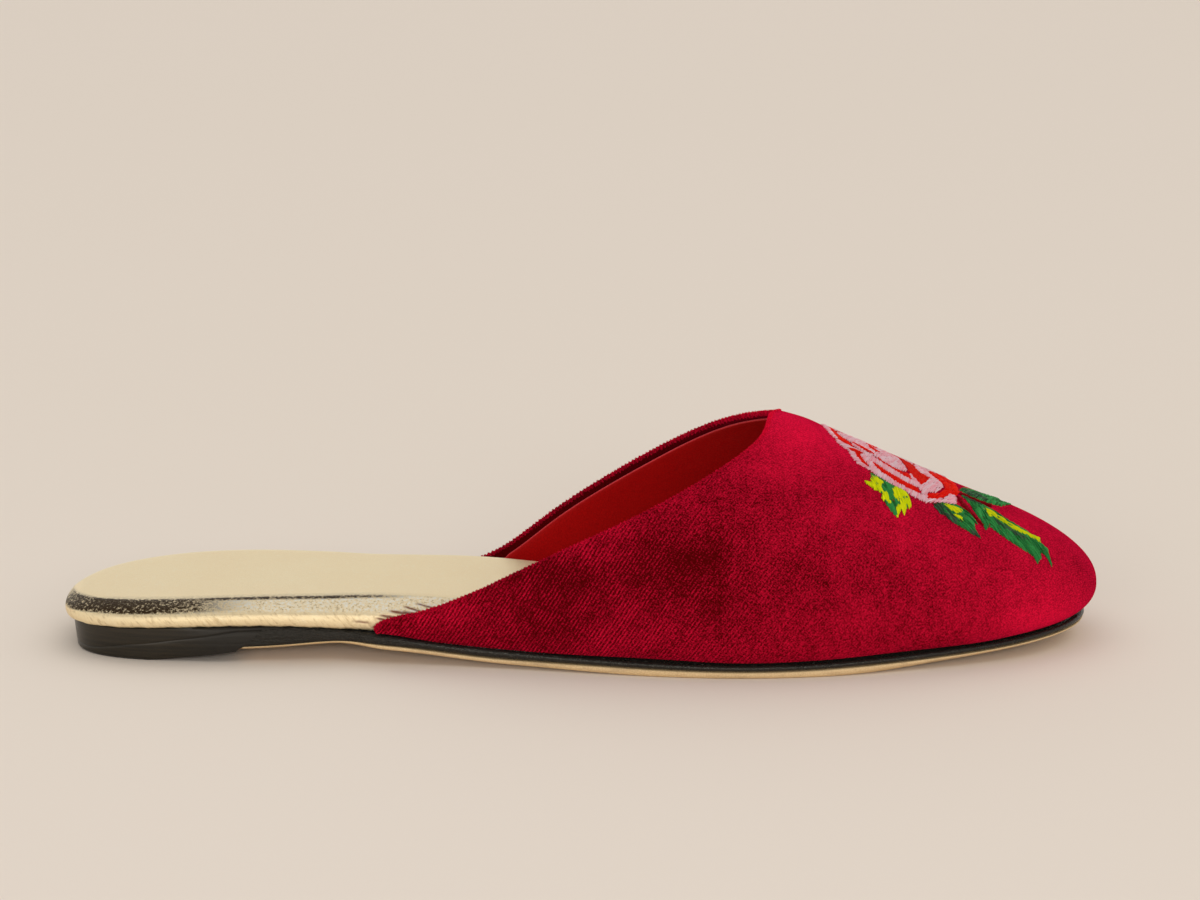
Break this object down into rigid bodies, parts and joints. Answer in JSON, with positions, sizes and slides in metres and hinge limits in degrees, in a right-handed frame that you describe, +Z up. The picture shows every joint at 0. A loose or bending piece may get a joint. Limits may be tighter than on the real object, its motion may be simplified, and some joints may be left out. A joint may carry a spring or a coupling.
{
  "type": "babouche slipper",
  "caption": "Low open-back slipper for the right foot, with a closed rounded toe, a padded footbed and a low stacked heel.",
  "frame": {"origin": "on the floor, under the middle of the slipper's bounding box", "axes": "+X from the heel to the toe, +Y to the inner side of the foot, +Z up"},
  "size_m": [0.2604, 0.083, 0.0573],
  "materials": {
    "velvet": "short crimson pile over a red leather lining",
    "gold_leather": "pale gold, lightly grained, satin",
    "black_leather": "black, waxed",
    "heel_leather": "stacked leather, blackened and polished",
    "sole_leather": "natural tan, smooth"
  },
  "bodies": {
    "root": {"upper": "velvet", "insole": "gold_leather", "rand": "black_leather", "outsole": "sole_leather", "heel": "heel_leather"}
  },
  "joints": []
}
